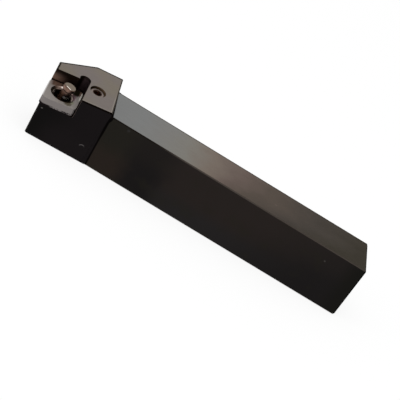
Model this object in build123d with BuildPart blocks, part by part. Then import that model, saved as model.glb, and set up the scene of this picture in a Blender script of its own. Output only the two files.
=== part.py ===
from build123d import *
from math import cos, radians, sin, sqrt, tan
import os

os.makedirs("parts", exist_ok=True)

# Right-hand lever-lock turning tool holder, in mm.
# +X runs from the head to the rear end, the cutting side faces -Y, +Z is up.
# The origin is on the bottom face of the shank, at mid-width and at half of the tool length.

# Shank
tool_length = 250.0
shank_width = 40.0
shank_height = 40.0
shank_edge = 0.6
rear_edge = 1.0

# Cutting geometry: where the rounded corner of the gauge insert touches, how the seat leans and
# how the head is set
tip_offset = 50.0
tip_height = 40.0
lead_angle = 5.0
seat_tilt = 6.0
insert_angle = 80.0
insert_circle = 25.4
insert_thickness = 9.525
gauge_nose_radius = 2.4

# Head
head_length = 47.5
head_top_drop = 0.7
flank_clearance = 6.7
near_flank_inset = 0.92
front_flank_inset = 1.22
far_break = 28.6
far_bevel_angle = 30.7
head_edge = 0.5
nose_edge_radius = 1.6
step_cove = 4.2
top_cove = 2.0
corner_relief_radius = 4.0
corner_relief_shift = 1.25

# Shim
shim_thickness = 6.35
shim_inset = 0.8
shim_corner_radius = 3.2
shim_hole_radius = 7.9
shim_hole_chamfer = 0.8

# Shim pin, a split spring sleeve
sleeve_inner_radius = 6.4
sleeve_outer_radius = 7.8
sleeve_length = 11.3
sleeve_recess = 0.75
sleeve_slit = 1.6
sleeve_edge = 0.35

# Lever
arm_length = 22.0
arm_angle = 17.0
elbow_depth = 25.5
elbow_radius = 4.9
lever_lean = 5.4
lever_height = 23.3
barrel_radius = 4.35
barrel_height = 2.4
barrel_edge = 0.3
neck_radius = 3.5
arm_width = 5.0
arm_half_height = 2.6
arm_end_half_height = 2.3
arm_edge = 0.8
tongue_half_height = 1.6
tongue_length = 2.4
tongue_gap = 0.4
neck_foot_radius = 3.7
neck_foot_height = 8.0
barrel_shoulder = 1.1

# Clamp screw
screw_radius = 4.95
screw_recess = 1.3
screw_thread_length = 12.5
screw_shank_radius = 4.3
screw_neck_radius = 3.1
groove_width = 3.9
groove_contact = 4.3
groove_flank = 1.4
screw_collar = 4.5
screw_edge = 0.4
screw_foot_edge = 0.9
hex_across_flats = 5.0
hex_depth = 5.5
hex_mouth = 0.4
drill_point = 1.4

# Clearances and hollows of the body
thread_clearance = 0.05
countersink_radius = 5.7
screw_run_out = 1.5
outlet_radius = 4.2
socket_clearance = 0.3
slot_clearance = 0.4
chamber_radius = 6.4
chamber_step = 1.8
sleeve_shoulder_gap = 0.2
slot_top = 21.3
slot_bottom = 29.6
cut_margin = 30.0

# ---- reference frames ----
rise = tan(radians(seat_tilt))
# The insert's sharp corner lies this far beyond the tangents of its rounded nose, towards -X and -Y
overhang = gauge_nose_radius * (1 / sin(radians(insert_angle / 2)) / sqrt(2) - 1)
tip = Vector(
    -tool_length / 2 - overhang,
    shank_width / 2 - tip_offset - overhang,
    tip_height - 2 * overhang * rise,
)
lead_cos = cos(radians(lead_angle))
lead_sin = sin(radians(lead_angle))
seat_normal = Vector(-rise, -rise, 1).normalized()
edge_direction = Vector(lead_cos, lead_sin, rise * (lead_cos + lead_sin)).normalized()
# The seat frame starts at the insert's cutting corner, with X along its side edge and Z out of its face
seat = Plane(origin=tip, x_dir=edge_direction, z_dir=seat_normal)
head_top = seat.offset(-head_top_drop)
shim_top = seat.offset(-insert_thickness)
pocket_floor = shim_top.offset(-shim_thickness)

side_length = insert_circle / sin(radians(insert_angle))
wall_cos = cos(radians(insert_angle))
wall_sin = sin(radians(insert_angle))
corner_x = side_length * (1 + wall_cos)
corner_y = insert_circle
seat_centre = (corner_x / 2, corner_y / 2)
arm_cos = cos(radians(arm_angle))
arm_sin = sin(radians(arm_angle))
screw_centre = (seat_centre[0] + arm_length * arm_cos, seat_centre[1] + arm_length * arm_sin)

# The lever's own upright plane: X along the arm, Y up the seat normal, from the elbow's centre
elbow_centre = seat.offset(-elbow_depth).from_local_coords(Vector(*seat_centre))
arm_direction = (seat.x_dir * arm_cos + seat.y_dir * arm_sin).normalized()
hinge_direction = arm_direction.cross(seat_normal)
upright = Plane(origin=elbow_centre, x_dir=arm_direction, z_dir=hinge_direction)
lean = radians(lever_lean)
leaning_arm = arm_direction * cos(lean) - seat_normal * sin(lean)
lever_frame = Plane(origin=elbow_centre, x_dir=leaning_arm, z_dir=hinge_direction)
screw_foot = upright.from_local_coords(Vector(arm_length, 0, 0))
screw_frame = Plane(origin=screw_foot, x_dir=arm_direction, z_dir=hinge_direction)

rear_x = tool_length / 2
step_x = -rear_x + head_length
side_y = shank_width / 2
body_top = shank_height + cut_margin

# Heights along the seat normal, measured from the elbow's centre
head_height = elbow_depth - head_top_drop
floor_height = elbow_depth - insert_thickness - shim_thickness
sleeve_foot = elbow_depth - insert_thickness - sleeve_recess - sleeve_length
sleeve_shoulder = sleeve_foot - sleeve_shoulder_gap
groove_top = (groove_contact - arm_length) * sin(lean) + groove_width / 2
screw_top = head_height - screw_recess
screw_end = groove_top - groove_width - screw_collar
thread_foot = screw_top - screw_thread_length
bore_foot = screw_end - screw_run_out

# Radii and reaches that follow from the pieces they hold
socket_radius = elbow_radius + socket_clearance
bore_radius = screw_radius + thread_clearance
hex_corner_radius = hex_across_flats / 2 / cos(radians(30))
elbow_reach = cos(radians(45))
tongue_end = arm_length - screw_neck_radius - tongue_gap
arm_end = tongue_end - tongue_length

# Pocket outline in the seat frame, and the round relief that touches the line of its rear wall
pocket_reach = side_length + cut_margin
relief_y = corner_y + corner_relief_shift
relief_x = corner_x + corner_relief_shift * wall_cos / wall_sin - corner_relief_radius / wall_sin

# Shim outline in the seat frame: the insert's rhombus, drawn in by the same amount on every side
side_slope = wall_cos / wall_sin
shim_near = shim_inset
shim_far = insert_circle - shim_inset
shim_front = shim_inset / wall_sin
shim_rear = side_length - shim_inset / wall_sin

# ---- holder body ----
# The two flanks under the cutting edges lean inwards, and they stand just inside the insert's outline
clear = radians(flank_clearance)
near_normal = Vector(lead_sin * cos(clear), -lead_cos * cos(clear), -sin(clear))
front_normal = Vector(-lead_cos * cos(clear), lead_sin * cos(clear), -sin(clear))
near_flank = Plane(origin=tip - near_normal * near_flank_inset, z_dir=near_normal)
front_flank = Plane(origin=tip - front_normal * front_flank_inset, z_dir=front_normal)
bevel_x = -rear_x + far_break
bevel_run = far_break + cut_margin
bevel_y = side_y - bevel_run * tan(radians(far_bevel_angle))

with BuildPart() as holder_body:
    with BuildSketch():
        with BuildLine():
            outline = Polyline(
                (step_x + step_cove, -side_y),
                (step_x + step_cove, side_y),
                (bevel_x, side_y),
                (bevel_x - bevel_run, bevel_y),
                (bevel_x - bevel_run, -side_y - cut_margin),
                (step_x, -side_y - cut_margin),
                (step_x, -side_y - step_cove),
            )
            RadiusArc(outline @ 1, outline @ 0, step_cove)
        make_face()
    extrude(amount=body_top)
    split(bisect_by=near_flank, keep=Keep.BOTTOM)
    split(bisect_by=front_flank, keep=Keep.BOTTOM)
    split(bisect_by=head_top, keep=Keep.BOTTOM)
    nose_edge = holder_body.edges().filter_by(lambda e: e.length > tip_height * 0.9).sort_by(Axis.X)[0]
    fillet(nose_edge, nose_edge_radius)

    # Shank, with its long edges broken, and the coved step up to the head's top
    with BuildSketch(Plane.YZ.offset(step_x + step_cove)) as section:
        with Locations((0, shank_height / 2)):
            Rectangle(shank_width, shank_height)
        chamfer(section.vertices(), shank_edge)
    extrude(amount=tool_length - head_length - step_cove)
    with BuildSketch(Plane.XZ):
        with BuildLine():
            step = Polyline(
                (step_x + top_cove, shank_height),
                (rear_x, shank_height),
                (rear_x, body_top),
                (step_x, body_top),
                (step_x, shank_height + top_cove),
            )
            RadiusArc(step @ 1, step @ 0, -top_cove)
        make_face()
    extrude(amount=tip_offset, both=True, mode=Mode.SUBTRACT)

    chamfer(holder_body.faces().sort_by(Axis.X)[-1].edges(), rear_edge)
    chamfer(holder_body.faces().filter_by(head_top)[0].edges(), head_edge)

    # Insert pocket, with the round relief in its inner corner
    with BuildSketch(pocket_floor):
        Polygon(
            (corner_x, corner_y),
            (corner_x - pocket_reach - cut_margin, corner_y),
            (corner_x - pocket_reach - cut_margin, corner_y - pocket_reach * wall_sin),
            (corner_x - pocket_reach * wall_cos, corner_y - pocket_reach * wall_sin),
            align=None,
        )
        with Locations((relief_x, relief_y)):
            Circle(corner_relief_radius)
    extrude(amount=shim_thickness + insert_thickness + cut_margin, mode=Mode.SUBTRACT)

    # Stepped bore under the shim: the sleeve's bore, the chamber and the socket of the lever's elbow
    with BuildSketch(upright):
        with BuildLine():
            bore = Polyline(
                (socket_radius, 0),
                (socket_radius, chamber_step),
                (chamber_radius, chamber_step),
                (chamber_radius, sleeve_shoulder),
                (sleeve_outer_radius, sleeve_shoulder),
                (sleeve_outer_radius, floor_height),
                (0, floor_height),
                (0, -socket_radius),
            )
            RadiusArc(bore @ 1, bore @ 0, -socket_radius)
        make_face()
    revolve(axis=Axis(upright.origin, upright.y_dir), mode=Mode.SUBTRACT)

    # Slot of the lever's arm, from the socket to the clamp screw's bore
    with BuildSketch(upright):
        with Locations((arm_length / 2, elbow_depth - (slot_top + slot_bottom) / 2)):
            Rectangle(arm_length, slot_bottom - slot_top)
    extrude(amount=arm_width / 2 + slot_clearance, both=True, mode=Mode.SUBTRACT)

    # Bore of the clamp screw, countersunk at the head's top and narrower towards the bottom
    with BuildSketch(screw_frame):
        with BuildLine():
            Polyline(
                (0, head_height + head_edge),
                (countersink_radius, head_height + head_edge),
                (countersink_radius, head_height),
                (bore_radius, head_height - countersink_radius + bore_radius),
                (bore_radius, bore_foot),
                (outlet_radius, bore_foot - bore_radius + outlet_radius),
                (outlet_radius, -shank_height),
                (0, -shank_height),
                close=True,
            )
        make_face()
    revolve(axis=Axis(screw_foot, screw_frame.y_dir), mode=Mode.SUBTRACT)

# ---- shim ----
with BuildPart() as shim:
    with BuildSketch(pocket_floor):
        Polygon(
            (shim_front + shim_near * side_slope, shim_near),
            (shim_rear + shim_near * side_slope, shim_near),
            (shim_rear + shim_far * side_slope, shim_far),
            (shim_front + shim_far * side_slope, shim_far),
            align=None,
        )
    extrude(amount=shim_thickness)
    fillet(shim.edges().filter_by(Axis(seat.origin, seat.z_dir)), shim_corner_radius)
    with BuildSketch(shim_top):
        with Locations(seat_centre):
            Circle(shim_hole_radius)
    extrude(amount=-shim_thickness, mode=Mode.SUBTRACT)
    hole_rims = shim.edges().filter_by(GeomType.CIRCLE).group_by(SortBy.RADIUS)[-1]
    chamfer(hole_rims, shim_hole_chamfer)

# ---- shim pin ----
with BuildPart() as shim_pin:
    with BuildSketch(seat.offset(sleeve_foot - elbow_depth)):
        with Locations(seat_centre):
            Circle(sleeve_outer_radius)
            Circle(sleeve_inner_radius, mode=Mode.SUBTRACT)
    extrude(amount=sleeve_length)
    chamfer(shim_pin.edges().filter_by(GeomType.CIRCLE), sleeve_edge)
    # The slit faces away from the lever's arm
    with BuildSketch(upright):
        with Locations((-sleeve_outer_radius, sleeve_foot + sleeve_length / 2)):
            Rectangle(sleeve_outer_radius, sleeve_length)
    extrude(amount=sleeve_slit / 2, both=True, mode=Mode.SUBTRACT)

# ---- lever ----
with BuildPart() as lever:
    # Upright: the ball of the elbow, the tapered neck and the barrel head
    with BuildSketch(lever_frame):
        with BuildLine():
            stem = Polyline(
                (0, -elbow_radius),
                (0, lever_height),
                (barrel_radius - barrel_edge, lever_height),
                (barrel_radius, lever_height - barrel_edge),
                (barrel_radius, lever_height - barrel_height),
                (neck_radius, lever_height - barrel_height - barrel_shoulder),
                (neck_foot_radius, neck_foot_height),
                (elbow_radius * elbow_reach, elbow_radius * elbow_reach),
            )
            RadiusArc(stem @ 1, stem @ 0, elbow_radius)
        make_face()
    revolve(axis=Axis(lever_frame.origin, lever_frame.y_dir))
    # Arm, thinned to a tongue that enters the screw's groove
    with BuildSketch(lever_frame):
        Polygon(
            (0, arm_half_height),
            (arm_end, arm_end_half_height),
            (arm_end + arm_end_half_height - tongue_half_height, tongue_half_height),
            (tongue_end, tongue_half_height),
            (tongue_end, -tongue_half_height),
            (arm_end + arm_end_half_height - tongue_half_height, -tongue_half_height),
            (arm_end, -arm_end_half_height),
            (0, -arm_half_height),
            align=None,
        )
    extrude(amount=arm_width / 2, both=True)
    long_edges = lever.edges().filter_by(GeomType.LINE).filter_by(lambda e: e.length > arm_end / 2)
    fillet(long_edges.filter_by(lambda e: abs(e.tangent_at(0.5).dot(leaning_arm)) > elbow_reach), arm_edge)

# ---- clamp screw ----
with BuildPart() as clamp_screw:
    with BuildSketch(screw_frame):
        with BuildLine():
            Polyline(
                (0, screw_top),
                (screw_radius - screw_edge, screw_top),
                (screw_radius, screw_top - screw_edge),
                (screw_radius, thread_foot),
                (screw_shank_radius, thread_foot - screw_radius + screw_shank_radius),
                (screw_shank_radius, groove_top + groove_flank),
                (screw_radius, groove_top + groove_flank - screw_radius + screw_shank_radius),
                (screw_radius, groove_top),
                (screw_neck_radius, groove_top),
                (screw_neck_radius, groove_top - groove_width),
                (screw_radius, groove_top - groove_width),
                (screw_radius, screw_end + screw_foot_edge),
                (screw_radius - screw_foot_edge, screw_end),
                (0, screw_end),
                close=True,
            )
        make_face()
    revolve(axis=Axis(screw_foot, screw_frame.y_dir))
    # Hexagon socket with a bevelled mouth and a drilled bottom
    with BuildSketch(seat.offset(screw_top - elbow_depth)):
        with Locations(screw_centre):
            RegularPolygon(hex_across_flats / 2, 6, major_radius=False)
    extrude(amount=-hex_depth, mode=Mode.SUBTRACT)
    with BuildSketch(screw_frame):
        with BuildLine():
            Polyline(
                (0, screw_top),
                (hex_corner_radius, screw_top),
                (hex_across_flats / 2, screw_top - hex_mouth),
                (hex_across_flats / 2, screw_top - hex_depth),
                (0, screw_top - hex_depth - drill_point),
                close=True,
            )
        make_face()
    revolve(axis=Axis(screw_foot, screw_frame.y_dir), mode=Mode.SUBTRACT)

pieces = {
    "holder_body": holder_body,
    "shim": shim,
    "shim_pin": shim_pin,
    "lever": lever,
    "clamp_screw": clamp_screw,
}
for name, piece in pieces.items():
    piece.part.label = name
    export_step(piece.part, f"parts/{name}.step")
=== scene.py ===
import math
import bpy
from mathutils import Matrix, Vector


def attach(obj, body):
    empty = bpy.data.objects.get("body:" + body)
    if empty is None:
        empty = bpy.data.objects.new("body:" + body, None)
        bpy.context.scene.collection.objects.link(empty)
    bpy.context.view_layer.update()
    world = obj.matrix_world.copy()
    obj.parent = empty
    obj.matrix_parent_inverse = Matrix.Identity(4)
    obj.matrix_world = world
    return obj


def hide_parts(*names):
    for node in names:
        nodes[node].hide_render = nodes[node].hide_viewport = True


# Looks of the lever-lock turning tool holder, in metres. +X runs from the head to the rear end,
# the cutting side faces -Y and the shank's bottom face lies on z = 0.

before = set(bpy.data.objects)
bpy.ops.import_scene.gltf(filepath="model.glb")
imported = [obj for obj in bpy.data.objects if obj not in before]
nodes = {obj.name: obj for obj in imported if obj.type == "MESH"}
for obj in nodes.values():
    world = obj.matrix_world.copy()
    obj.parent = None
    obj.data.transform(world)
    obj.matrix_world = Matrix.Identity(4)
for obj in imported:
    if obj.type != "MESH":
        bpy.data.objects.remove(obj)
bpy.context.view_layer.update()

MM = 0.001
lengthways = Vector((1, 0, 0))
crossways = Vector((0, 1, 0))
upwards = Vector((0, 0, 1))

# ---- places that the finishes refer to, as in the part's source, in mm unless times MM ----
seat_tilt = math.radians(6.0)
lead_angle = math.radians(5.0)
point_angle = math.radians(80)
rise = math.tan(seat_tilt)
tip = Vector((-125.240, -30.240, 39.950)) * MM
seat_normal = Vector((-rise, -rise, 1.0)).normalized()
edge_direction = Vector((
    math.cos(lead_angle),
    math.sin(lead_angle),
    rise * (math.cos(lead_angle) + math.sin(lead_angle)),
)).normalized()
inward_direction = seat_normal.cross(edge_direction)
flank_clearance = math.radians(6.7)
near_normal = Vector((
    math.sin(lead_angle) * math.cos(flank_clearance),
    -math.cos(lead_angle) * math.cos(flank_clearance),
    -math.sin(flank_clearance),
))
front_normal = Vector((near_normal.y, near_normal.x, near_normal.z))
near_flank_inset = 0.92
front_flank_inset = 1.22
bevel_angle = math.radians(30.7)
bevel_normal = Vector((-math.sin(bevel_angle), math.cos(bevel_angle), 0.0))
bevel_start = Vector((-96.4, 20.0, 0.0)) * MM
head_top_drop = 0.7
head_rear_x = -77.5
step_cove = 4.2
top_cove = 2.0
rear_x = 125.0
side_y = 20.0
shank_top = 40.0
insert_thickness = 9.525
pocket_floor = -15.875
pocket_wall = 25.4
side_length = pocket_wall / math.sin(point_angle)
wall_slope = math.cos(point_angle) / math.sin(point_angle)
hole_centre = (side_length * (1 + math.cos(point_angle)) / 2, pocket_wall / 2)
relief_centre = (26.429, 26.65)
relief_radius = 4.0

# Lever, which leans towards the clamp screw
lever_lean = math.radians(5.4)
arm_angle = math.radians(17.0)
arm_direction = edge_direction * math.cos(arm_angle) + inward_direction * math.sin(arm_angle)
lever_axis = seat_normal * math.cos(lever_lean) + arm_direction * math.sin(lever_lean)
lever_elbow = Vector((-108.845, -13.695, 17.631)) * MM
lever_lip = 2.55
# Direction across the lever's top towards its near rim, where a highlight line and shade are painted
highlight_angle = math.radians(-38.0)
highlight_line = edge_direction * math.cos(highlight_angle) + inward_direction * math.sin(highlight_angle)
highlight_direction = highlight_line.cross(lever_axis).normalized()
streak_direction = lever_axis.cross(highlight_direction)

# Clamp screw: heights along its own axis from its foot
screw_foot = Vector((-88.647952, -5.500348, 20.615614)) * MM
screw_top = 23.5
screw_end = -8.116
screw_radius = 4.95
screw_edge = 0.4
screw_shank_radius = 4.3
screw_neck_radius = 3.1
screw_foot_edge = 0.9
thread_foot = 11.0
thread_pitch = 1.0
thread_depth = 0.55
rows_per_turn = 10
turned_segments = 72
groove_top = 0.284
groove_width = 3.9
groove_flank = 1.4
hex_across_flats = 5.0
hex_depth = 5.5
hex_mouth = 0.4
drill_point = 1.4

# Black borders of the ground faces: how far each reaches in from its edge
far_border = 0.7
front_border = 0.4
bevel_border = 0.7
rear_border = 0.4
cove_border = 0.3

# Black line of painted shade in the step's cove: how far behind the head it stands at the bottom, how
# it slants as it rises, and half of its width at the bottom with what it gains by the middle and by the
# top
line_foot = 5.1
line_slant = 0.105
line_half_width = 0.6
line_middle_gain = 0.35
line_top_gain = 1.1

# Marks on the head: a chip, placed from the tip, a curved scratch, placed ahead of mid-length and
# above the bottom face, and a dark line just under the top
chip_along = 5.0
chip_below_tip = 18.3
chip_slimness = 0.6
scratch_x = 81.5
scratch_z = 10.6
scratch_radius = 1.9
under_top_drop = 1.15

# Nicks: place and size, and colour on screen
side_nicks = (
    (Vector((97.5, -20.0, 30.7)), 0.85, (62, 59, 57)),
    (Vector((-61.5, -20.0, 37.6)), 1.4, (46, 44, 43)),
)
top_nick = (Vector((51.6, -4.0, 40.0)), 0.8, (100, 88, 84))
spot_core = 0.4

# Fade of the ground top from grey to brown and darker, part wear and part painted falloff of light:
# where it starts ahead of mid-length, over what length, and how much sooner it comes on the near side
fade_lead = 55
fade_length = 175
fade_near_side = 26

# Heat tints of the shim: where they start from the cutting edge and over what width
tints_start = 3.0
tints_width = 14.0
shim_chips_drop = 5.15
stain_along = 19.2
stain_inward = 4.6


# ---- shader maths ----
class Value:
    """A socket of a node tree. Arithmetic on it adds Math nodes."""

    def __init__(self, graph, socket):
        self.graph = graph
        self.socket = socket

    def math(self, operation, *values):
        return self.graph.node("ShaderNodeMath", {"operation": operation}, dict(enumerate(values)))

    def __add__(self, other):
        return self.math("ADD", self, other)

    def __sub__(self, other):
        return self.math("SUBTRACT", self, other)

    def __rsub__(self, other):
        return self.math("SUBTRACT", other, self)

    def __mul__(self, other):
        return self.math("MULTIPLY", self, other)

    def __truediv__(self, other):
        return self.math("DIVIDE", self, other)

    def __pow__(self, other):
        return self.math("POWER", self, other)

    __radd__ = __add__
    __rmul__ = __mul__

    def above(self, low, high):
        """0 below low, 1 above high and a smooth rise between; falls where high is the lower."""
        return self.graph.node(
            "ShaderNodeMapRange",
            {"interpolation_type": "SMOOTHSTEP"},
            {"Value": self, "From Min": low, "From Max": high},
        )

    def most(self, other):
        return self.math("MAXIMUM", self, other)

    def size(self):
        return self.math("ABSOLUTE", self)

    def swing(self, width):
        """Noise about 0.5 as a swing about 0, from half of the width below to half above."""
        return (self - 0.5) * width


def squared(first, second):
    """Squared distance of a point from where both of its distances are 0."""
    return first ** 2.0 + second ** 2.0


class Graph:
    """A node tree, with one way to add any node."""

    def __init__(self, tree):
        self.tree = tree

    def node(self, kind, settings, values, output=0):
        """Adds a node by its settings and its sockets' values or links, and gives one output."""
        made = self.tree.nodes.new(kind)
        for name, value in settings.items():
            if name == "stops":
                ramp = made.color_ramp
                while len(ramp.elements) < len(value):
                    ramp.elements.new(0.5)
                for element, (position, colour) in zip(ramp.elements, value):
                    element.position = position
                    element.color = colour
            else:
                setattr(made, name, value)
        for name, value in values.items():
            if isinstance(value, Value):
                self.tree.links.new(value.socket, made.inputs[name])
            else:
                made.inputs[name].default_value = value
        return Value(self, made.outputs[output])

    def end(self, value, node, socket):
        """Links a value to a socket of a node that the tree has from the start."""
        self.tree.links.new(value.socket, self.tree.nodes[node].inputs[socket])

    def dot(self, vector, direction):
        return self.node(
            "ShaderNodeVectorMath",
            {"operation": "DOT_PRODUCT"},
            {0: vector, 1: tuple(direction)},
            "Value",
        )


class Finish(Graph):
    """A material with one principled shader, whose gloss comes from metal and roughness alone."""

    def __init__(self, name, metallic=1.0, roughness=0.4, grazing=(1.0, 1.0, 1.0)):
        self.material = bpy.data.materials.new(name)
        self.material.use_nodes = True
        super().__init__(self.material.node_tree)
        self.shader = self.tree.nodes["Principled BSDF"]
        self.shader.inputs["Metallic"].default_value = metallic
        self.shader.inputs["Roughness"].default_value = roughness
        self.shader.inputs["Specular IOR Level"].default_value = 0.0
        self.shader.inputs["Specular Tint"].default_value = (*grazing, 1.0)
        self.place = self.node("ShaderNodeTexCoord", {}, {}, "Object")

    def along(self, direction, origin=Vector()):
        """Distance from the origin along a direction, in millimetres."""
        return (self.dot(self.place, direction) - direction.dot(origin)) / MM

    def from_seat(self, origin):
        """Distances from a place along the cutting edge, inwards from it and up off the seat."""
        directions = (edge_direction, inward_direction, seat_normal)
        return [self.along(direction, origin) for direction in directions]

    def facing(self, direction):
        """1 where the surface faces a direction, 0 where it is square to it and -1 behind."""
        return self.dot(self.node("ShaderNodeTexCoord", {}, {}, "Normal"), direction)

    def spot(self, centre, size):
        """1 in a small round spot about a place and 0 outside it, both in millimetres."""
        off = self.node(
            "ShaderNodeVectorMath",
            {"operation": "DISTANCE"},
            {0: self.place, 1: centre * MM},
            "Value",
        )
        return (off / MM).above(size, size * spot_core)

    def noise(self, grain, detail=3.0, stretch=(1.0, 1.0, 1.0), offset=0.0):
        """Soft noise about 0.5 whose blotches are a given size in mm."""
        place = self.node(
            "ShaderNodeMapping",
            {},
            {"Vector": self.place, "Location": (offset,) * 3, "Scale": stretch},
        )
        return self.node(
            "ShaderNodeTexNoise",
            {},
            {"Vector": place, "Scale": 1 / (grain * MM), "Detail": detail, "Roughness": 0.55},
        )

    def blend(self, amount, first, second):
        """first where the amount is 0 and second where it is 1."""
        return self.node(
            "ShaderNodeMix",
            {"data_type": "RGBA"},
            {0: amount, 6: first, 7: second},
            2,
        )

    def layered(self, colour, *layers):
        """A colour under layers in their order, each an amount and the colour it turns to."""
        for amount, layer in layers:
            colour = self.blend(amount, colour, layer)
        return colour

    def ramp(self, amount, stops):
        return self.node("ShaderNodeValToRGB", {"stops": stops}, {"Fac": amount})

    def feed(self, socket, value):
        self.end(value, self.shader.name, socket)

    def bump(self, height, depth):
        """Height is 0 to 1, and depth is what 1 stands for in mm."""
        self.feed("Normal", self.node("ShaderNodeBump", {}, {"Height": height, "Distance": depth * MM}))


def shade(red, green, blue):
    """A colour given as it looks on screen, 0 to 255, in the linear values that shaders take."""
    parts = [value / 255 for value in (red, green, blue)]
    linear = [v / 12.92 if v <= 0.04045 else ((v + 0.055) / 1.055) ** 2.4 for v in parts]
    return tuple(linear + [1.0])


# ---- finishes ----
def oxide_steel():
    """Black oxide; the ground upper faces are satin grey and wear to brown at the rear, darkened there
    by painted falloff of light, with painted shade in the step's cove and the screw's bore and a
    painted sheen in the pocket.
    """
    steel = Finish("oxide_steel", grazing=(0.81, 0.76, 0.69))
    x = steel.along(lengthways)
    y = steel.along(crossways)
    z = steel.along(upwards)
    along, inward, up = steel.from_seat(tip)
    broad = steel.noise(38, detail=2)
    patches = steel.noise(11, detail=4, offset=3.0)
    grain = steel.noise(0.35, detail=2)
    brushed = steel.noise(0.5, detail=3, stretch=(0.05, 1.0, 1.0))

    # How far each point lies outside the borders of the ground faces
    far_side = y - side_y + far_border
    near_flank = steel.along(near_normal, tip) + near_flank_inset
    front_flank = steel.along(front_normal, tip) + front_flank_inset + front_border
    bevel = steel.along(bevel_normal, bevel_start) + bevel_border
    on_head = x.above(head_rear_x + 0.1, head_rear_x)
    head_border = near_flank.most(front_flank).most(bevel).most(far_side).most(x - head_rear_x)
    rear_edge = x - rear_x + rear_border
    cove_edge = head_rear_x + top_cove - cove_border - x
    shank_border = far_side.most(-side_y - y).most(rear_edge).most(cove_edge)
    border = shank_border + (head_border - shank_border) * on_head
    level = z - shank_top + (up + head_top_drop - z + shank_top) * on_head
    ground = level.above(-0.08, -0.03) * (border + grain * 0.3).above(-0.6, -0.9)

    # Oxide of the shank: brown behind the head, then dark, paler about the middle and dark again
    # at the rear, with olive stains
    wander = broad.swing(16) + patches.swing(12)
    pale = (x + wander).above(-34, -16) * (x + wander - z).above(90, 10)
    dark_oxide = steel.blend(z.above(16, 32), shade(29, 27, 27), shade(33, 30, 29))
    pale_oxide = steel.blend(z.above(6, 20), shade(37, 35, 35), shade(40, 35, 33))
    front_oxide = steel.blend(z.above(12, 26), shade(42, 36, 32), shade(36, 34, 30))
    shank_black = steel.layered(
        dark_oxide,
        (pale, pale_oxide),
        ((x + wander).above(-46, -60), front_oxide),
        (patches.above(0.5, 0.75) * 0.4, shade(37, 35, 29)),
    )

    # Oxide of the head, with a chip below the cutting edge and a curved scratch near the step
    chip = squared((along - chip_along) * chip_slimness, up + chip_below_tip).above(0.3, 0.05)
    dark_line_under_top = (up + under_top_drop).size().above(0.6, 0.3) * inward.above(3, 2)
    scratch_out = (squared(x + scratch_x, z - scratch_z) + patches.swing(2)) ** 0.5
    scratch = (scratch_out - scratch_radius).size().above(0.4, 0.15) * z.above(10.9, 11.6)
    scratch = scratch * (x - z * 0.2).above(-81.9, -84.0)
    head_black = steel.layered(
        shade(19, 18, 18),
        (x.above(-118, -90), shade(26, 23, 24)),
        (z.above(24, 8) * x.above(-118, -95), shade(27, 24, 25)),
        (chip, shade(92, 88, 86)),
        (dark_line_under_top, shade(9, 5, 4)),
        (scratch * y.above(-15, -18), shade(92, 88, 88)),
    )

    # Cove of the step: painted shade, dark as the head as far as a black line of painted shade that
    # slants off it downwards
    behind = x - head_rear_x
    from_line = behind + z * line_slant - line_foot
    half_width = z.above(18, 30) * line_middle_gain + z.above(35, 38) * line_top_gain
    near_side = y.above(-15, -19) * (1.0 - on_head)
    shaded = from_line.above(0.2, -0.2) * near_side
    line = (from_line.size() - (half_width + line_half_width)).above(0.25, -0.25) * near_side
    top_line = behind.above(step_cove + 0.1, step_cove - 0.3) * behind.above(-0.1, 0.5)
    cove_shade = line.most(top_line * z.above(39.2, 39.7))

    # Broken edges of the shank, bevel of the rear end and nicks
    edges = (side_y - y.size()).above(0.62, 0.55) * (z - shank_top).size().above(0.62, 0.55)
    edge_colour = steel.blend(x.above(-45, -15), shade(18, 14, 12), shade(60, 54, 50))
    far_line = far_side.above(0.0, 0.1) * z.above(shank_top - 0.9, shank_top - 0.7)
    rear_line = (x - rear_x).above(-1.15, -0.9) * (x - rear_x).above(-0.02, -0.05)
    black = steel.layered(
        shank_black,
        (on_head, head_black),
        (x.above(108, 122), shade(26, 25, 23)),
        (shaded, shade(27, 24, 25)),
        (cove_shade, shade(10, 8, 8)),
        (edges * (1.0 - on_head), edge_colour),
        (rear_line, shade(9, 9, 8)),
        *[(steel.spot(centre, size), shade(*colour)) for centre, size, colour in side_nicks],
    )

    # Bare upper faces, brushed lengthways, grey wearing to brown with a painted falloff of light
    # towards the rear, and a painted glint along the head's near edge
    sooner = y.above(0, -22) * x.above(-40, 40) * fade_near_side
    fade = (x + broad.swing(24) + patches.swing(14) + sooner + fade_lead) / fade_length
    shank_bare = steel.ramp(fade, [
        (0.0, shade(121, 124, 126)),
        (0.1, shade(121, 122, 122)),
        (0.2, shade(122, 121, 117)),
        (0.33, shade(115, 105, 98)),
        (0.45, shade(95, 82, 79)),
        (0.57, shade(74, 65, 61)),
        (0.8, shade(50, 46, 46)),
        (1.0, shade(28, 27, 24)),
    ])
    head_bare = steel.blend(broad.above(0.35, 0.65), shade(119, 112, 102), shade(117, 110, 108))
    glint = border.above(-1.9, -1.3) * y.above(0, -10) * on_head
    nick_place, nick_size, nick_colour = top_nick
    bare = steel.layered(
        shank_bare,
        (steel.spot(nick_place, nick_size), shade(*nick_colour)),
        (on_head, head_bare),
        (brushed.above(0.3, 0.7) * 0.12, shade(60, 56, 52)),
        (glint * 0.45, shade(152, 145, 136)),
    )
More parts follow.
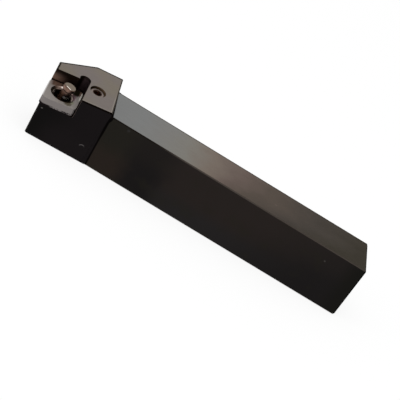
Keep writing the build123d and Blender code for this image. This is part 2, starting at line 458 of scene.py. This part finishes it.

    # Ground pocket, tinted brown with a lighter painted sheen that falls off into painted shade inwards
    # and upwards, a painted sheen low on the rear half of the relief and a painted highlight at the
    # near end of the rear wall
    skewed = along - inward * wall_slope
    walls = inward.above(pocket_wall + 0.1, pocket_wall)
    walls = walls * skewed.above(side_length + 0.1, side_length)
    off_centre = squared(along - relief_centre[0], inward - relief_centre[1])
    relief = off_centre.above((relief_radius + 0.1) ** 2, relief_radius ** 2)
    above_floor = up.above(pocket_floor - 0.1, pocket_floor)
    pocket = walls.most(relief) * above_floor * up.above(-0.72, -0.8)
    sheen = along.above(18, 8) * up.above(-2.0, -7.5) * up.above(-9.4, -8.4)
    relief_rear = (along - relief_centre[0]).above(-1.5, 0.5) * relief
    relief_colour = steel.blend(up.above(-1.0, -4.0), shade(62, 50, 47), shade(104, 86, 90))
    on_rear_wall = skewed.above(side_length - 0.4, side_length - 0.1) * (1.0 - relief)
    rear_wall = steel.blend(near_flank.above(-1.8, -0.6), shade(84, 70, 64), shade(120, 106, 103))
    wall = steel.layered(
        shade(46, 35, 30),
        (sheen, shade(178, 150, 136)),
        (relief_rear, relief_colour),
        (on_rear_wall, rear_wall),
    )

    # Bore of the clamp screw, painted shade, black, at the front and mottled brown grease at the rear
    screw_along = steel.along(edge_direction, screw_foot)
    screw_inward = steel.along(inward_direction, screw_foot)
    bore = squared(screw_along, screw_inward).above(5.75 ** 2, 5.7 ** 2) * up.above(-4.0, -3.0)
    shade_and_grease = steel.layered(
        shade(13, 5, 1),
        (screw_along.above(-4.0, 3.5), shade(68, 54, 40)),
        (steel.noise(1.3, detail=2).above(0.45, 0.65) * 0.6, shade(36, 28, 14)),
    )

    dull = bore.most(cove_shade).most(shaded).most(far_line).most(rear_line)
    black = steel.layered(black, (pocket, wall), (bore, shade_and_grease))
    steel.feed("Base Color", steel.blend(ground, black, bare))
    steel.feed("Metallic", 1.0 - dull * (1.0 - ground))
    steel.feed("Roughness", 0.42 + patches * 0.10 + grain.swing(0.08) - ground * 0.06)
    steel.bump(grain * 0.6 + brushed * 0.4, 0.004)
    return steel.material


def carbide():
    """Ground carbide: browned towards the far wall, tinted beside the hole, dark at its foot, with
    painted highlights on its edges and the hole's bevel and painted shade at the bevel's front and
    beside the lever.
    """
    ground = Finish("carbide")
    along, inward, above_tip = ground.from_seat(tip)
    up = above_tip + insert_thickness
    skewed = along - inward * wall_slope
    grain = ground.noise(0.25, detail=2)
    cloud = ground.noise(4.5, detail=3, offset=1.0)
    stain = ground.noise(3.0, detail=3, offset=7.0)
    specks = ground.noise(1.1, detail=3, offset=2.0)

    # Sides, whose foot is dark with a worn, broken line above it, and a painted highlight along the
    # front edge
    side = up.above(-0.05, -0.3)
    front_edge_highlight = skewed.above(1.6, 1.0) * up.above(-0.8, -0.1)
    foot = (up + specks.swing(1.2) * along.above(8, 12)).above(-4.3, -5.0)
    chips = (up + shim_chips_drop).size().above(0.6, 0.3)
    chips = chips * (specks * 0.6 + stain * 0.4).above(0.42, 0.5) * along.above(8, 11)
    foot = foot * (1.0 - chips)

    # Heat tints, an olive stain and rust on the top, a painted highlight along its rear edge, and
    # grease beside the lever darkened by painted shade
    top = 1.0 - side
    tints = ground.ramp((inward + stain.swing(5.0) - tints_start) / tints_width, [
        (0.1, shade(132, 128, 120)),
        (0.3, shade(112, 114, 88)),
        (0.5, shade(134, 128, 122)),
        (0.68, shade(138, 112, 120)),
        (0.9, shade(84, 66, 68)),
    ])
    beside = along.above(18.5, 21.0) * skewed.above(23.0, 21.0)
    beside = beside * inward.above(3.5, 6.5) * inward.above(20, 17) * top
    olive = squared(along - stain_along, inward - stain_inward) + specks.swing(14)
    rust = (inward + stain.swing(3)).above(17.4, 19.6) * (along + specks.swing(2)).above(5.4, 8.0)
    rust_colour = ground.blend(stain.above(0.35, 0.65), shade(98, 78, 67), shade(76, 58, 49))
    rear_edge = skewed.above(23.8, 24.2) * inward.above(11, 15)
    shade_and_grease = (inward + specks.swing(2)).above(15.6, 18.4) * along.above(19.0, 20.5)
    shade_and_grease = shade_and_grease * skewed.above(23.2, 22.6) * top

    # Bevel of the hole: painted shade at the front, a painted highlight and glint at the far side,
    # tinted at the rear
    hole_along = along - hole_centre[0]
    hole_inward = inward - hole_centre[1]
    bevel = (squared(hole_along, hole_inward) ** 0.5).above(8.75, 8.6)
    lit = hole_along.above(-6.8, -4.8) * hole_inward.above(4, 6)
    lit_colour = ground.blend(hole_along.above(-6.0, -0.8), shade(88, 70, 60), shade(176, 154, 143))
    glint = hole_along.above(-2.2, -0.6) * hole_inward.above(5, 7)
    bevel_colour = ground.layered(
        shade(34, 26, 20),
        (hole_along.above(3.5, 6.5), tints),
        (lit, lit_colour),
        (glint, shade(255, 244, 236)),
    )

    # Dark foot of the sides, and the greasy patch beside the lever with its painted shade
    dark_foot_and_patch = foot.most(shade_and_grease)
    colour = ground.layered(
        shade(130, 124, 120),
        (cloud, shade(137, 131, 127)),
        (side, shade(124, 118, 116)),
        (front_edge_highlight * 0.8, shade(200, 198, 196)),
        (beside * 0.85, tints),
        (olive.above(12, 3) * top * 0.9, shade(78, 71, 56)),
        (rust * top, rust_colour),
        (rear_edge, shade(196, 193, 184)),
        (bevel, bevel_colour),
        (dark_foot_and_patch, ground.blend(side, shade(18, 15, 8), shade(22, 18, 19))),
    )
    ground.feed("Base Color", colour)
    ground.feed("Metallic", 0.5 - dark_foot_and_patch * 0.5)
    ground.feed("Roughness", 0.40 + grain * 0.14)
    ground.bump(grain, 0.003)
    return ground.material


def spring_steel():
    """Pressed-in sleeve, greasy and brown, with painted highlights on its rim at the rear and a painted
    highlight streak inside.
    """
    spring = Finish("spring_steel")
    stain = spring.noise(2.2, detail=3)
    fine = spring.noise(0.3, detail=2)
    along_edge, inward_off, up = spring.from_seat(tip)
    along = along_edge - hole_centre[0]
    inward = inward_off - hole_centre[1]
    # Painted highlight: a bright streak on the inner wall
    highlight_streak = (along + inward * 0.6).above(-1.0, -2.4)
    highlight_streak = highlight_streak * up.above(-14.6, -13.8) * up.above(-12.2, -13.0)
    inside = spring.layered(
        shade(92, 78, 68),
        (stain.above(0.35, 0.7), shade(52, 38, 30)),
        (highlight_streak, shade(255, 250, 244)),
    )

    # Rim: dark, with painted highlights at the rear and on its inner lip at the front and at the far
    # side
    rim = up.above(-10.75, -10.6)
    rim_highlight = along.above(5.6, 6.8) * inward.above(-3.5, -1.5)
    painted_lip = squared(along, inward).above(6.95 ** 2, 6.7 ** 2) * along.above(-2.5, -4.5)
    far_lip_highlight = along.above(-6.2, -3.2) * inward.above(3.4, 5.4)
    rim_colour = spring.layered(
        shade(30, 23, 16),
        (rim_highlight, shade(150, 136, 128)),
        (painted_lip * inward.above(-4, -2) * inward.above(4, 2), shade(112, 104, 98)),
        (far_lip_highlight, shade(116, 100, 92)),
    )
    spring.feed("Base Color", spring.blend(rim, inside, rim_colour))
    spring.feed("Metallic", 1.0 - rim * (1.0 - rim_highlight))
    spring.feed("Roughness", 0.28 + fine * 0.2)
    spring.bump(fine, 0.003)
    return spring.material


def bronzed_steel():
    """Lever, browned by heat, with a grey top; painted light and shade: a lighter forward side and
    underside, a dark lower stem, a shaded near rim with a highlight line, and a glint on the stem.
    """
    brown = Finish("bronzed_steel")
    stain = brown.noise(3.5, detail=3)
    fine = brown.noise(0.3, detail=2)
    flat = brown.facing(lever_axis)
    rearward = brown.facing(edge_direction)
    towards = brown.along(highlight_direction, lever_elbow)
    across = brown.along(streak_direction, lever_elbow)
    height = brown.along(lever_axis, lever_elbow)
    # Painted shade on the stem low in the hole, lighter on its forward side and darker on its rear side
    low_stem = brown.layered(
        shade(64, 50, 53),
        (rearward.above(-0.2, -0.7), shade(140, 102, 84)),
        (rearward.above(0.1, 0.6), shade(36, 29, 33)),
    )
    glint = height.above(14.8, 15.3) * height.above(16.7, 16.2)
    glint = glint * across.above(0.8, 1.4) * across.above(3.7, 3.3)
    # Painted shade on the top's rounded near rim
    painted_lip = brown.blend(stain.above(0.4, 0.6), shade(88, 66, 54), shade(100, 78, 66))
    top = flat.above(0.3, 0.6)
    flat_top = towards.above(lever_lip + 0.15, lever_lip - 0.15) * flat.above(0.85, 0.97)
    # Painted highlight: a bright line along the top's near rim
    highlight_streak = (towards - lever_lip + 0.1).size().above(0.45, 0.2)
    highlight_streak = highlight_streak * across.above(-1.7, -0.8) * across.above(3.1, 2.3)
    # Painted light: lighter on the side that faces forwards and on the underside
    colour = brown.layered(
        shade(84, 66, 60),
        (stain.above(0.3, 0.7), shade(60, 46, 42)),
        (rearward.above(0.35, -0.25), shade(136, 108, 96)),
        (flat.above(-0.3, -0.5), shade(200, 176, 166)),
        (height.above(19.4, 17.2), low_stem),
        (glint, shade(255, 250, 246)),
        (top, painted_lip),
        (flat_top, shade(113, 101, 88)),
        (highlight_streak * top, shade(255, 244, 232)),
    )
    brown.feed("Base Color", colour)
    brown.feed("Roughness", 0.26 + fine * 0.16)
    brown.bump(fine, 0.003)
    return brown.material


def screw_steel():
    """Clamp screw, satin on its face, with old grease in its socket and painted shade round its mouth.
    """
    satin = Finish("screw_steel")
    stain = satin.noise(2.5, detail=3)
    fine = satin.noise(0.25, detail=2)
    along, inward, height = satin.from_seat(screw_foot)
    out = squared(along, inward) ** 0.5
    near_face = height.above(screw_top - 0.6, screw_top - 0.3)
    # Painted shade round the socket's mouth, in place of a chamfer's shading
    mouth_shade = (out + fine.swing(0.6)).above(3.5, 3.1) * near_face
    socket = out.above(3.0, 2.85) * height.above(screw_top - 0.3, screw_top - 0.6)
    colour = satin.layered(
        shade(130, 118, 112),
        (stain.above(0.3, 0.7), shade(112, 98, 90)),
        (mouth_shade, shade(44, 31, 25)),
        (socket, shade(90, 46, 20)),
    )
    satin.feed("Base Color", colour)
    satin.feed("Metallic", 1.0 - mouth_shade)
    satin.feed("Roughness", 0.3 + fine * 0.16)
    satin.bump(fine, 0.003)
    return satin.material


finishes = {
    "holder_body": oxide_steel(),
    "shim": carbide(),
    "shim_pin": spring_steel(),
    "lever": bronzed_steel(),
    "clamp_screw": screw_steel(),
}
for node, material in finishes.items():
    for material_slot in nodes[node].material_slots:
        material_slot.material = material


# ---- threaded clamp screw ----
class Growth(Graph):
    """A geometry tree with named inputs; its arithmetic adds the same Math nodes."""

    def __init__(self, name, inputs):
        super().__init__(bpy.data.node_groups.new(name, "GeometryNodeTree"))
        interface = self.tree.interface
        self.sockets = {}
        for label, kind in {"Geometry": "NodeSocketGeometry", **inputs}.items():
            self.sockets[label] = interface.new_socket(label, in_out="INPUT", socket_type=kind)
        interface.new_socket("Geometry", in_out="OUTPUT", socket_type="NodeSocketGeometry")
        self.start = self.tree.nodes.new("NodeGroupInput")
        self.last = self.tree.nodes.new("NodeGroupOutput")

    def input(self, label):
        return Value(self, self.start.outputs[label])

    def finish(self, geometry, material):
        real = self.node("GeometryNodeRealizeInstances", {}, {"Geometry": geometry})
        values = {"Geometry": real, "Material": material}
        done = self.node("GeometryNodeSetMaterial", {}, values)
        self.end(done, self.last.name, "Geometry")


def turned_screw_tree():
    """Turns a profile of radius and height about Z, cuts the thread and squares off the socket."""
    turned = Growth("turned_screw", {
        "Segments": "NodeSocketInt",
        "Thread Top": "NodeSocketFloat",
        "Thread Foot": "NodeSocketFloat",
        "Pitch": "NodeSocketFloat",
        "Depth": "NodeSocketFloat",
        "Socket Radius": "NodeSocketFloat",
        "Material": "NodeSocketMaterial",
    })
    profile = turned.input("Geometry")
    segments = turned.input("Segments")
    rows = turned.node(
        "GeometryNodeAttributeDomainSize",
        {"component": "MESH"},
        {"Geometry": profile},
    )
    columns = segments + 1
    sheet = turned.node("GeometryNodeMeshGrid", {}, {"Vertices X": rows, "Vertices Y": columns})
    index = turned.node("GeometryNodeInputIndex", {}, {})
    row = index.math("FLOOR", (index + 0.5) / columns)
    angle = (index - row * columns) / segments * math.tau
    spot = turned.node("GeometryNodeInputPosition", {}, {})
    picked = turned.node(
        "GeometryNodeSampleIndex",
        {"data_type": "FLOAT_VECTOR", "domain": "POINT"},
        {"Geometry": profile, "Value": spot, "Index": row},
    )
    radius = turned.dot(picked, lengthways)
    height = turned.dot(picked, upwards)

    # Thread: a saw of flattened teeth that climbs one pitch a turn and runs out at both ends
    top = turned.input("Thread Top")
    foot = turned.input("Thread Foot")
    pitch = turned.input("Pitch")
    turn = height.math("FRACT", height / pitch - angle / math.tau + 8.0)
    tooth = ((turn * 2.0 - 1.0).size() * 1.35 - 0.15).above(0.0, 1.0)
    run = ((top - height) / pitch).above(0.1, 0.8) * ((height - foot) / pitch).above(0.1, 0.8)
    outside = (radius - turned.input("Socket Radius") * 1.5).above(0.0, 0.0001)
    threaded = radius - turned.input("Depth") * tooth * run * outside

    # Socket: a hexagon of the same width across its flats
    sixth = math.tau / 6
    from_flat = angle.math("FRACT", angle / sixth + 0.0001) * sixth - sixth / 2
    hexagon = threaded / from_flat.math("COSINE", from_flat)
    in_socket = (turned.input("Socket Radius") - threaded).size().above(0.00001, 0.0)
    final = threaded + (hexagon - threaded) * in_socket

    placed = turned.node(
        "ShaderNodeCombineXYZ",
        {},
        {0: final * angle.math("COSINE", angle), 1: final * angle.math("SINE", angle), 2: height},
    )
    bent = turned.node("GeometryNodeSetPosition", {}, {"Geometry": sheet, "Position": placed})
    closed = turned.node(
        "GeometryNodeMergeByDistance",
        {},
        {"Geometry": bent, "Distance": 0.000002},
    )
    turned.finish(closed, turned.input("Material"))
    return turned


def grown(name, mesh, growth, values, place):
    """The plain mesh object that a geometry tree makes from a mesh, moved into its place."""
    seed = bpy.data.objects.new(name + "_seed", mesh)
    bpy.context.scene.collection.objects.link(seed)
    modifier = seed.modifiers.new(name, "NODES")
    modifier.node_group = growth.tree
    for label, value in values.items():
        modifier[growth.sockets[label].identifier] = value
    seed.update_tag()
    evaluated = seed.evaluated_get(bpy.context.evaluated_depsgraph_get())
    made = bpy.data.meshes.new_from_object(evaluated)
    bpy.data.objects.remove(seed)
    made.transform(place)
    piece = bpy.data.objects.new(name, made)
    bpy.context.scene.collection.objects.link(piece)
    return piece


def clamp_screw():
    """The clamp screw with its thread, in place of the plain one."""
    flat = hex_across_flats / 2
    corner = flat / math.cos(math.radians(30))
    step = screw_radius - screw_shank_radius
    thread_top = screw_top - screw_edge
    rows = round((thread_top - thread_foot) / thread_pitch * rows_per_turn)
    thread = [thread_top - (thread_top - thread_foot) * row / rows for row in range(rows + 1)]
    profile = [
        (0, screw_top - hex_depth - drill_point),
        (flat, screw_top - hex_depth),
        (flat, screw_top - hex_mouth),
        (corner, screw_top),
        (screw_radius - screw_edge, screw_top),
        *[(screw_radius, height) for height in thread],
        (screw_shank_radius, thread_foot - step),
        (screw_shank_radius, groove_top + groove_flank),
        (screw_radius, groove_top + groove_flank - step),
        (screw_radius, groove_top),
        (screw_neck_radius, groove_top),
        (screw_neck_radius, groove_top - groove_width),
        (screw_radius, groove_top - groove_width),
        (screw_radius, screw_end + screw_foot_edge),
        (screw_radius - screw_foot_edge, screw_end),
        (0, screw_end),
    ]
    mesh = bpy.data.meshes.new("screw_profile")
    mesh.from_pydata([(radius * MM, 0, height * MM) for radius, height in profile], [], [])
    values = {
        "Segments": turned_segments,
        "Thread Top": thread_top * MM,
        "Thread Foot": thread_foot * MM,
        "Pitch": thread_pitch * MM,
        "Depth": thread_depth * MM,
        "Socket Radius": flat * MM,
        "Material": finishes["clamp_screw"],
    }
    turned = Matrix((edge_direction, inward_direction, seat_normal)).transposed().to_4x4()
    place = Matrix.Translation(screw_foot) @ turned
    screw = grown("threaded_screw", mesh, turned_screw_tree(), values, place)
    screw.data.shade_smooth()
    screw.data.set_sharp_from_angle(angle=math.radians(32))
    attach(screw, "screw")
    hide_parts("clamp_screw")
    return screw


clamp_screw()


# ---- stage ----
floor_reach = 6.0
floor_drop = 0.0002
floor_grey = 0.93
floor_glow = 0.85
sky_strength = 0.85
white = (1.0, 1.0, 1.0, 1.0)


def seen_directly(graph):
    """1 for what is seen straight, in metal or through glass, and 0 for light on the object."""
    camera_ray, glossy_ray, glass_ray = [
        graph.node("ShaderNodeLightPath", {}, {}, f"Is {kind} Ray")
        for kind in ("Camera", "Glossy", "Transmission")
    ]
    return camera_ray.most(glossy_ray).most(glass_ray)


def pale_floor():
    """White floor that keeps a faint shadow."""
    floor = Finish("pale_floor", metallic=0.0, roughness=1.0)
    floor.shader.inputs["Base Color"].default_value = (floor_grey, floor_grey, floor_grey, 1.0)
    glow = floor.node("ShaderNodeEmission", {}, {"Color": white, "Strength": 1.0})
    matte = Value(floor, floor.shader.outputs[0])
    seen = seen_directly(floor) * floor_glow
    mixed = floor.node("ShaderNodeMixShader", {}, {0: seen, 1: matte, 2: glow})
    floor.end(mixed, "Material Output", "Surface")
    return floor.material


def studio():
    """A world that is white to the eye and in metal, and plain soft light on everything else."""
    world = bpy.data.worlds.new("studio")
    world.use_nodes = True
    sky = Graph(world.node_tree)
    strength = sky.node(
        "ShaderNodeMapRange",
        {},
        {"Value": seen_directly(sky), "To Min": sky_strength, "To Max": 1.0},
    )
    world.node_tree.nodes["Background"].inputs["Color"].default_value = white
    sky.end(strength, "Background", "Strength")
    return world


def softbox(name, place, aim, size, power):
    """A square soft lamp that points at a place."""
    lamp = bpy.data.lights.new(name, "AREA")
    lamp.size = size
    lamp.energy = power
    holder = bpy.data.objects.new(name, lamp)
    holder.location = place
    holder.rotation_euler = (Vector(aim) - Vector(place)).to_track_quat("-Z", "Y").to_euler()
    bpy.context.scene.collection.objects.link(holder)


floor_mesh = bpy.data.meshes.new("floor")
floor_corners = [
    (-floor_reach, -floor_reach, 0),
    (floor_reach, -floor_reach, 0),
    (floor_reach, floor_reach, 0),
    (-floor_reach, floor_reach, 0),
]
floor_mesh.from_pydata(floor_corners, [], [(0, 1, 2, 3)])
floor_mesh.materials.append(pale_floor())
floor = bpy.data.objects.new("floor", floor_mesh)
floor.location.z = -floor_drop
bpy.context.scene.collection.objects.link(floor)

bpy.context.scene.world = studio()
middle = (0.0, 0.0, 0.02)
softbox("top_light", place=(-0.1, -0.2, 1.6), aim=middle, size=1.4, power=8.0)
softbox("side_light", place=(-1.2, -0.5, 0.6), aim=middle, size=0.5, power=1.6)

# ---- camera ----
azimuth = math.radians(-11.935)
elevation = math.radians(24.601)
roll = math.radians(36.255)
distance = 2.0936
target = Vector((8.57, 0.0, 12.31)) * MM
focal_pixels = 3129.0
frame_pixels = 400.0
sensor_width = 36.0

back = Vector((
    math.sin(azimuth) * math.cos(elevation),
    -math.cos(azimuth) * math.cos(elevation),
    math.sin(elevation),
))
level_right = Vector((math.cos(azimuth), math.sin(azimuth), 0.0))
level_up = back.cross(level_right)
right = level_right * math.cos(roll) + level_up * math.sin(roll)
up = level_up * math.cos(roll) - level_right * math.sin(roll)
turn = Matrix((right, up, back)).transposed().to_4x4()
camera = bpy.data.objects.new("camera", bpy.data.cameras.new("camera"))
camera.data.sensor_width = sensor_width
camera.data.lens = focal_pixels / frame_pixels * sensor_width
camera.data.clip_start = 0.05
camera.data.clip_end = 50.0
camera.matrix_world = Matrix.Translation(target + back * distance) @ turn
bpy.context.scene.collection.objects.link(camera)
bpy.context.scene.camera = camera
bpy.context.scene.view_settings.view_transform = "Standard"
